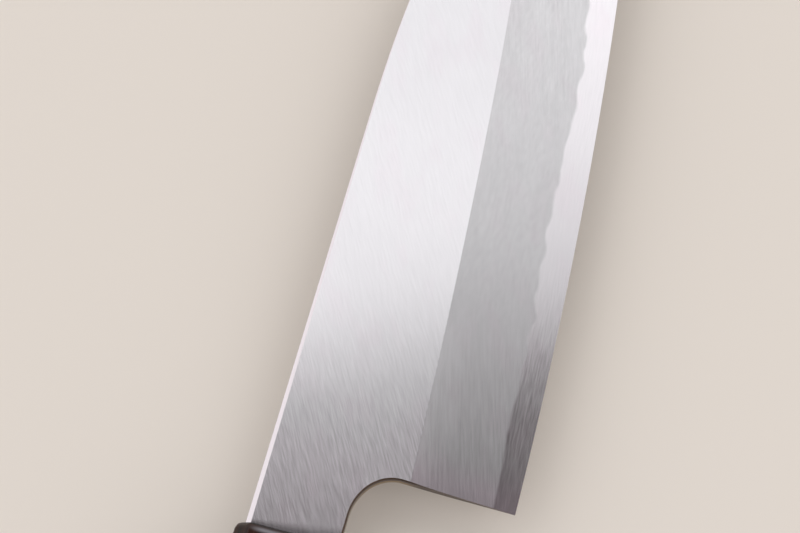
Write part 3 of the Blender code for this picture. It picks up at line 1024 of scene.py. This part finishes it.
@dataclass
class Blade:
    """The forged blade: a hard core and two soft claddings, ground as one."""

    shape: BladeShape
    origin: Vector
    reach: float = 5.0 * MM
    rounding_steps: int = 9
    column: float = 4.0 * MM
    merge_reach: float = 0.004 * MM
    smooth_angle: float = math.radians(20)
    ground_level: float = 0.995
    wall_level: float = 0.1

    def stone(
        self, name: str, start: list[float], sides: tuple[Curve, Curve], faces: tuple[Height, Height]
    ) -> bpy.types.Object:
        """A grid, extruded into a closed block over the blade whose points then follow formulas.

        Args:
            name: The block's name.
            start: Its places along the blade, behind the heel.
            sides: Where its side below the edge and its side above the spine lie at a place.
            faces: The heights of its lower and its upper face at a point.

        Returns:
            The block.
        """
        places = start + [0.0] + self.shape.stations() + [self.shape.edge_length + self.reach]
        columns = len(places) - 1
        Bench.clear()
        bpy.ops.mesh.primitive_grid_add(x_subdivisions=columns, y_subdivisions=1, size=1.0)
        piece = Bench.settle(name)
        self.thicken(piece)
        for vertex in piece.data.vertices:
            x = places[round((vertex.co.x + 0.5) * columns)]
            y = sides[int(vertex.co.y > 0)](x)
            vertex.co = (x, y, faces[int(vertex.co.z > 0.5)](x, y))
        return piece

    @staticmethod
    def thicken(piece: bpy.types.Object) -> None:
        """Extrudes a flat piece by one metre into a closed solid.

        Args:
            piece: The flat piece.
        """
        Bench.edit_faces(piece)
        bpy.ops.mesh.extrude_region_move(TRANSFORM_OT_translate={"value": (0.0, 0.0, 1.0)})
        bpy.ops.mesh.select_all(action="SELECT")
        bpy.ops.mesh.normals_make_consistent(inside=False)
        Bench.clear()

    def layer(self, name: str, start_x: float, low: Height, high: Height) -> bpy.types.Object:
        """A block as wide as the blade, from a place behind the heel on and between two heights."""
        sides = (lambda x: -self.reach), (lambda x: self.shape.heel_height + self.reach)
        return self.stone(name, [start_x, -self.reach / 2], sides, (low, high))

    def blank(self) -> bpy.types.Object:
        """The forged blank: the outline at full thickness, with its rims worked and its tang.

        Returns:
            The blank, in the blade's own frame.
        """
        shape = self.shape
        outline = shape.outline(self.reach)
        half = shape.flat_half(shape.shoulder_x, shape.heel_height)
        Bench.clear()
        bpy.ops.mesh.primitive_circle_add(vertices=len(outline), radius=shape.edge_length, fill_type="NGON")
        piece = Bench.settle("blade_blank")
        for vertex, point in zip(piece.data.vertices, outline):
            vertex.co = (*point, 0.0)
        self.thicken(piece)
        for vertex in piece.data.vertices:
            vertex.co.z = half if vertex.co.z > 0.5 else -half
        for on_spine, width, slope, steps in (
            (True, shape.spine_chamfer, shape.spine_chamfer_slope, 1),
            (False, shape.choil_rounding, 1.0, self.rounding_steps),
        ):
            self.stretch(piece, 1 / slope)
            Bench.edit_edges(piece, lambda ends, normals: self.on_rim(ends, on_spine))
            bpy.ops.mesh.bevel(
                offset=width, offset_type="OFFSET", segments=steps, profile=0.5,
                affect="EDGES", clamp_overlap=False, loop_slide=False
            )
            self.stretch(piece, slope)
        ends = (shape.shoulder_x + MM, shape.tang_end_x)
        Bench.combine(piece, tang_block(shape, Vector(), "tang", *ends, 0.0), Cut.JOIN)
        count = int(shape.edge_length / self.column)
        Bench.divide(piece, [(i - 0.5) * self.column for i in range(-2, count)])
        return piece

    @staticmethod
    def stretch(piece: bpy.types.Object, factor: float) -> None:
        """Makes a piece thicker or thinner about its middle, so that a bevel comes out less or more steep.

        Args:
            piece: The piece.
            factor: How much thicker it becomes.
        """
        Bench.edit_faces(piece)
        bpy.ops.transform.resize(value=(1.0, 1.0, factor), center_override=(0.0, 0.0, 0.0))
        Bench.clear()

    def on_rim(self, ends: list[Vector], on_spine: bool) -> bool:
        """Whether an edge of the blank lies on a rim that is chamfered or rounded.

        Args:
            ends: The two ends of the edge.
            on_spine: Whether the rim is the spine's, or the choil's and the heel's.

        Returns:
            False along the thickness, at the shoulder and on the spare steel below the cutting edge.
        """
        first, second = ends
        shape = self.shape
        below = [end.y < shape.edge_y(end.x) - self.reach + self.merge_reach for end in ends]
        across = first.z * second.z < 0 or max(first.x, second.x) < shape.shoulder_x + self.merge_reach
        return not across and not all(below) and on_spine != shape.by_choil((first + second) / 2)

    def ground_blank(self) -> bpy.types.Object:
        """The blank after both flats, both bevels and the cutting edge are ground.

        Returns:
            The ground blank.
        """
        shape, reach = self.shape, self.reach
        piece = self.blank()
        for surface, start_x in ((shape.flat_half, shape.tang_end_x - reach), (shape.bevel_half, -reach)):
            for low, high in (
                (surface, lambda x, y: surface(x, y) + reach),
                (lambda x, y: -surface(x, y) - reach, lambda x, y: -surface(x, y)),
            ):
                Bench.combine(piece, self.layer("side_stone", start_x, low, high), Cut.REMOVE)
        sides = (lambda x: -3 * reach), (lambda x: shape.edge_y(min(x, shape.edge_length)))
        faces = (lambda x, y: -reach), (lambda x, y: reach)
        Bench.combine(piece, self.stone("edge_stone", [-reach], sides, faces), Cut.REMOVE)
        return piece

    def cut_layer(self, ground: bpy.types.Object, name: str, low: Height, high: Height) -> bpy.types.Object:
        """Takes one of the three layers out of a copy of the ground blank, and marks its rims.

        Args:
            ground: The ground blank.
            name: The piece's name.
            low: The height of the layer's lower face at a point.
            high: The height of its upper face at a point.

        Returns:
            The piece.
        """
        piece = Bench.copy(ground, name)
        slab = self.layer(f"{name}_slab", self.shape.tang_end_x - self.reach, low, high)
        Bench.combine(piece, slab, Cut.KEEP)
        Bench.clean(piece, self.merge_reach)
        Bench.shade(piece, self.smooth_angle, self.ground_level)
        for rim in Rim:
            mark = piece.data.attributes.new(rim.value, "FLOAT", "FACE")
            for face in piece.data.polygons:
                mark.data[face.index].value = float(self.rim_of(face) is rim)
        Bench.take(piece)
        piece.location = self.origin
        bpy.ops.object.transform_apply(location=True, rotation=False, scale=False)
        return piece

    def rim_of(self, face: bpy.types.MeshPolygon) -> Rim | None:
        """Which rim of the blade a face belongs to.

        Args:
            face: A face of one of the layers.

        Returns:
            The rim, or None for a ground surface.
        """
        if abs(face.normal.z) > self.ground_level:
            return None
        if not self.shape.by_choil(face.center):
            return Rim.SPINE
        return Rim.CHOIL_WALL if abs(face.normal.z) < self.wall_level else Rim.CHOIL_CORNER

    def build(self) -> list[bpy.types.Object]:
        """Makes the three layers and gives them their steel.

        Returns:
            The core, the right side and the left side.
        """
        ground = self.ground_blank()
        steel = BladeSteel(self.shape, self.origin).material()
        weld, reach = self.shape.weld_half, self.reach
        pieces = []
        for name, node, slot, low, high in (
            ("blade_core", "core_steel", "hard_steel", lambda x, y: -weld(x), lambda x, y: weld(x)),
            ("blade_right_side", "cladding_right", "soft_steel", lambda x, y: weld(x), lambda x, y: reach),
            ("blade_left_side", "cladding_left", "soft_steel", lambda x, y: -reach, lambda x, y: -weld(x)),
        ):
            pieces.append(finish_piece(self.cut_layer(ground, name, low, high), node, steel))
        bpy.data.objects.remove(ground)
        return pieces


@dataclass
class Handle:
    """The octagonal handle: a horn ferrule on the tenon of a wooden body."""

    shape: BladeShape
    origin: Vector
    thickness: float = 18.0 * MM
    front_height: float = 22.0 * MM
    butt_height: float = 25.5 * MM
    body_length: float = 102.0 * MM
    corner_cut: float = 2.6 * MM
    corner_ease: float = 0.5 * MM
    ferrule_length: float = 26.0 * MM
    ferrule_rim: float = 1.5 * MM
    butt_rim: float = 2.2 * MM
    front_wall: float = 4.0 * MM
    wall: float = 1.4 * MM
    side_wall: float = 2.6 * MM
    seat_gap: float = 0.3 * MM
    seam: float = 0.02 * MM
    bedding_wall: float = 0.9 * MM
    reach: float = 1.0 * MM
    rounding_steps: int = 8
    tenon_sides: int = 96
    smooth_angle: float = math.radians(24)
    pith_offset: Vector = Vector((0.0, -31 * MM, 17 * MM))

    @property
    def front_x(self) -> float:
        """Front of the ferrule."""
        return self.origin.x - self.shape.neck_length

    @property
    def back_x(self) -> float:
        """Back of the ferrule."""
        return self.front_x - self.ferrule_length

    @property
    def butt_x(self) -> float:
        """Back of the handle."""
        return self.back_x - self.seat_gap - self.body_length

    @property
    def axis(self) -> Vector:
        """A point on the handle's axis."""
        return self.origin + Vector((0.0, self.shape.axis_y, 0.0))

    def height(self, x: float) -> float:
        """Height of the octagon, growing from the front of the ferrule to the butt."""
        share = (self.front_x - x) / (self.front_x - self.butt_x)
        return self.front_height + (self.butt_height - self.front_height) * share

    def bar(self, name: str, front_x: float, back_x: float) -> bpy.types.Object:
        """An octagonal length of the handle: a cube, tapered towards the front, with its long corners cut.

        Args:
            name: The piece's name.
            front_x: Where it starts.
            back_x: Where it ends.

        Returns:
            The bar.
        """
        half = Vector((0.0, self.height(back_x) / 2, self.thickness / 2))
        low = Vector((back_x, self.axis.y, self.axis.z)) - half
        high = Vector((front_x, self.axis.y, self.axis.z)) + half
        piece = Bench.block(name, low, high)
        Bench.edit_faces(piece, lambda face: face.normal.x > 0.9)
        taper = self.height(front_x) / self.height(back_x)
        centre = (front_x, self.axis.y, self.axis.z)
        bpy.ops.transform.resize(value=(1.0, taper, 1.0), center_override=centre)
        Bench.edit_edges(piece, lambda ends, normals: self.runs_along(*ends))
        bpy.ops.mesh.bevel(offset=self.corner_cut, offset_type="OFFSET", segments=1, affect="EDGES")
        Bench.clear()
        return piece

    @staticmethod
    def runs_along(first: Vector, second: Vector) -> bool:
        """Whether an edge runs along the handle, by its two ends."""
        return abs(first.x - second.x) > MM

    def round_bar(self, piece: bpy.types.Object, rim_x: float, rim: float) -> None:
        """Eases the long corners of a bar and rounds one of its rims.

        Args:
            piece: The bar.
            rim_x: Where the rim lies along the handle.
            rim: How far it is rounded.
        """
        weights = piece.data.attributes.new("bevel_weight_edge", "FLOAT", "EDGE")
        points = piece.data.vertices
        for edge in piece.data.edges:
            first, second = (points[i].co for i in edge.vertices)
            if self.runs_along(first, second):
                weights.data[edge.index].value = self.corner_ease / rim
            elif abs(first.x - rim_x) < self.seam:
                weights.data[edge.index].value = 1.0
        Bench.modify(piece, "BEVEL", limit_method="WEIGHT", width=rim, segments=self.rounding_steps)

    def oval(self, name: str, front_x: float, back_x: float, margin: float) -> bpy.types.Object:
        """The oval tenon, or a larger copy of it that cuts its socket.

        Args:
            name: The piece's name.
            front_x: Where it starts.
            back_x: Where it ends.
            margin: How much larger it is than the tenon all round.

        Returns:
            The oval bar.
        """
        height = self.front_height - 2 * (self.wall + self.seat_gap) + 2 * margin
        thickness = self.thickness - 2 * (self.side_wall + self.seat_gap) + 2 * margin
        Bench.clear()
        bpy.ops.mesh.primitive_cylinder_add(
            vertices=self.tenon_sides, radius=0.5, depth=1.0, rotation=(0.0, math.pi / 2, 0.0),
            location=((front_x + back_x) / 2, self.axis.y, self.axis.z),
            scale=(thickness, height, front_x - back_x)
        )
        return Bench.settle(name)

    def ferrule(self) -> bpy.types.Object:
        """The horn collar, with a slot for the tang and an oval socket behind it.

        Returns:
            The collar.
        """
        piece = self.bar("ferrule_collar", self.front_x, self.back_x)
        self.round_bar(piece, self.front_x, self.ferrule_rim)
        floor = self.front_x - self.front_wall
        front = -self.shape.neck_length
        ends = (front + self.reach, front - self.front_wall - self.reach)
        Bench.combine(piece, tang_block(self.shape, self.origin, "slot", *ends, self.seat_gap), Cut.REMOVE)
        Bench.combine(piece, self.oval("socket", floor, self.back_x - self.reach, self.seat_gap), Cut.REMOVE)
        return piece

    def body(self) -> bpy.types.Object:
        """The wooden body, with its tenon and the hole for the bedded tang.

        Returns:
            The body.
        """
        piece = self.bar("handle_wood", self.back_x - self.seam, self.butt_x)
        self.round_bar(piece, self.butt_x, self.butt_rim)
        tenon_x = self.front_x - self.front_wall - self.seat_gap
        tenon = self.oval("tenon", tenon_x, self.back_x - 2 * self.reach, 0.0)
        Bench.combine(piece, tenon, Cut.JOIN)
        margin = 2 * self.seat_gap + self.bedding_wall
        ends = (tenon_x - self.origin.x + self.reach, self.shape.tang_end_x - margin)
        Bench.combine(piece, tang_block(self.shape, self.origin, "hole", *ends, margin), Cut.REMOVE)
        return piece

    def build(self) -> list[bpy.types.Object]:
        """Makes the ferrule and the wooden body, and gives them and the bedding their finishes.

        Returns:
            The ferrule and the body.
        """
        wood = PaleWood(self.axis + self.pith_offset).material()
        horn = Horn(Vector((self.front_x, self.axis.y, self.axis.z))).material()
        pieces = []
        for piece, node, slot, finish in (
            (self.ferrule(), "ferrule", "horn", horn), (self.body(), "handle_body", "handle_wood", wood)
        ):
            Bench.shade(piece, self.smooth_angle)
            pieces.append(finish_piece(piece, node, finish))
        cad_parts["tang_bedding"].material_slots[0].material = Resin().material()
        return pieces


def finish_piece(
    piece: bpy.types.Object, node: str, material: bpy.types.Material
) -> bpy.types.Object:
    """Gives a piece its material and puts it in place of a solid of the frame.

    Args:
        piece: The finished piece.
        node: The solid that it stands for.
        material: The piece's only material.

    Returns:
        The piece.
    """
    piece.data.materials.clear()
    piece.data.materials.append(material)
    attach(piece, BODY)
    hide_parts(node)
    return piece


@dataclass(frozen=True)
class Studio:
    """The camera, the floor and the light round the knife."""

    camera_place: Vector = Vector((-0.1220, -0.0328, 0.39825))
    camera_target: Vector = Vector((0.0293, 0.0080, 0.01035))
    lens: float = 100.0
    sensor: float = 36.0
    floor_size: float = 20.0
    floor_colour: Colour = (0.80, 0.74, 0.66)
    floor_roughness: float = 0.8
    far_side: Vector = Vector((0.9654, 0.2607, 0.0))
    spine_side: Vector = Vector((-0.2607, 0.9654, 0.0))
    far_limits: Span = (0.295, 0.37)
    flank_limits: Span = (0.30, 0.50)
    back_limits: Span = (-0.04, 0.20)
    bright: Colour = (1.13, 1.11, 1.13)
    dim: Colour = (0.155, 0.141, 0.143)
    back: Colour = (0.60, 0.59, 0.60)

    def camera(self) -> None:
        """Sets the camera at the photograph's angle."""
        data = bpy.data.cameras.new("camera")
        data.lens = self.lens
        data.sensor_width = self.sensor
        data.dof.use_dof = False
        camera = bpy.data.objects.new("camera", data)
        bpy.context.scene.collection.objects.link(camera)
        camera.location = self.camera_place
        camera.rotation_mode = "QUATERNION"
        camera.rotation_quaternion = (self.camera_target - self.camera_place).to_track_quat("-Z", "Y")
        bpy.context.scene.camera = camera

    def floor(self) -> None:
        """A plain pale floor under the knife."""
        Bench.clear()
        bpy.ops.mesh.primitive_plane_add(size=self.floor_size)
        floor = Bench.settle("floor")
        nodes = Nodes(bpy.data.materials.new("pale_floor"))
        inputs = {"Base Color": self.floor_colour, "Roughness": self.floor_roughness}
        floor.data.materials.append(nodes.surface(inputs, []))

    def light(self) -> None:
        """Bright light from the far side and both flanks, softer light from behind, and a dim band."""
        world = bpy.data.worlds.new("studio")
        bpy.context.scene.world = world
        nodes = Nodes(world)
        direction = nodes.add("ShaderNodeTexCoord").outputs["Generated"]
        dot = {"operation": "DOT_PRODUCT"}
        along, across = (
            nodes.value("ShaderNodeVectorMath", "Value", dot, {0: direction, 1: side})
            for side in (self.far_side, self.spine_side)
        )
        ceiling = (1 - along.ramp(*self.far_limits)) * (1 - abs(across).ramp(*self.flank_limits))
        overhead = nodes.mix(along.ramp(*self.back_limits), self.back, self.dim)
        colour = nodes.mix(ceiling, self.bright, overhead)
        background = nodes.add("ShaderNodeBackground", {}, {"Color": colour, "Strength": 1.0})
        nodes.add("ShaderNodeOutputWorld", {}, {"Surface": background.outputs["Background"]})

    def set_up(self) -> None:
        """Makes all of it."""
        bpy.context.scene.view_settings.view_transform = "Standard"
        self.camera()
        self.floor()
        self.light()


def main() -> None:
    """Builds the knife round the frame, and logs how many faces each of its pieces has."""
    logging.basicConfig(level=logging.INFO, format="%(message)s")
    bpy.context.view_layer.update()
    shape = BladeShape()
    low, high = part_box("core_steel")
    origin = Vector((high.x - shape.edge_length, low.y, (low.z + high.z) / 2))
    Studio().set_up()
    for assembly in (Blade(shape, origin), Handle(shape, origin)):
        for piece in assembly.build():
            LOG.info("%s: %d faces", piece.name, len(piece.data.polygons))


if __name__ == "__main__":
    main()
